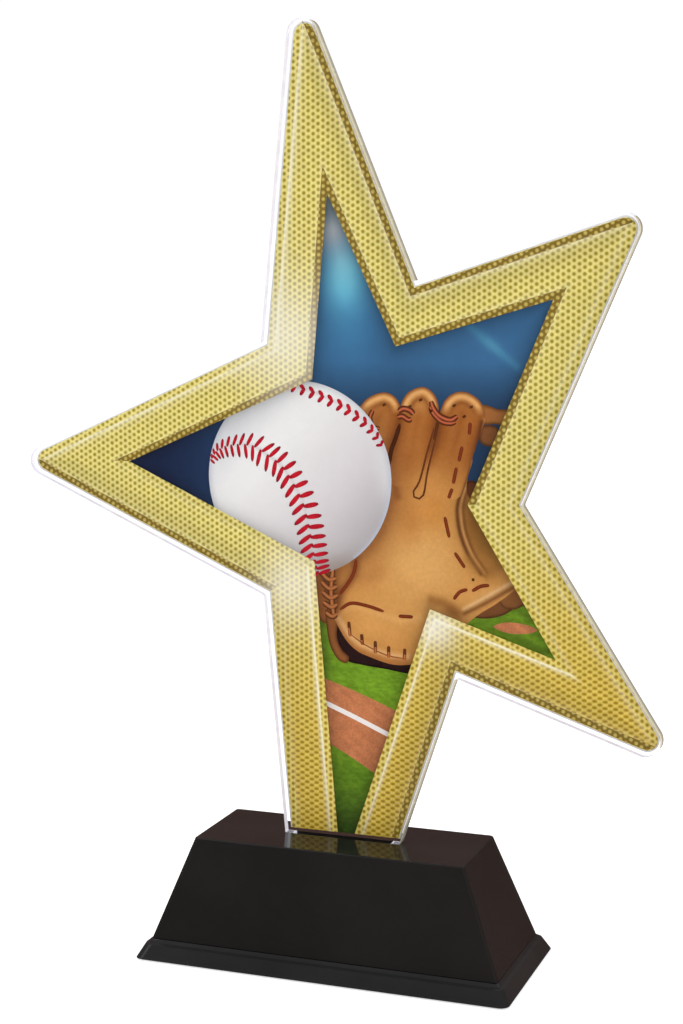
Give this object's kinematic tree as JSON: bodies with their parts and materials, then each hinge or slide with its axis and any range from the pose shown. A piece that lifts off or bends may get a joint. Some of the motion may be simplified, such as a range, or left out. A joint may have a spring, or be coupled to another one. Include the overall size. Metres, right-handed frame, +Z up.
{
  "type": "star trophy",
  "caption": "Free-standing award: a tilted clear star plate with a printed rear face, pushed into the slot of a sloping black base.",
  "frame": {"origin": "centre of the base's underside, on the surface that the trophy stands on", "axes": "+Z up, -Y the side that the picture faces, +X to the right of someone facing the picture"},
  "size_m": [0.1427, 0.038, 0.1997],
  "materials": {
    "clear_acrylic": "clear cast acrylic, flame-polished",
    "gold_print": "gold honeycomb-patterned printed film, gloss behind the plate",
    "picture_print": "full-colour printed film, gloss behind the plate",
    "white_film": "satin white vinyl",
    "black_plastic": "gloss black styrene moulding",
    "ballast_steel": "zinc-plated steel plate",
    "screw_steel": "zinc-plated screws",
    "foam": "black closed-cell foam"
  },
  "bodies": {
    "base": {"base_cap": "black_plastic", "base_plinth": "black_plastic", "ballast_plate": "ballast_steel", "ballast_pad": "foam", "cap_screws": "screw_steel", "base_pad": "foam"},
    "star": {"star_plate": "clear_acrylic", "gold_border_film": "gold_print", "picture_film": "picture_print", "backing_film": "white_film"}
  },
  "joints": [
    {"name": "star_lift", "type": "slide", "parent": "base", "child": "star", "axis": [0, 0, 1], "range_m": [0, 0.03]}
  ]
}
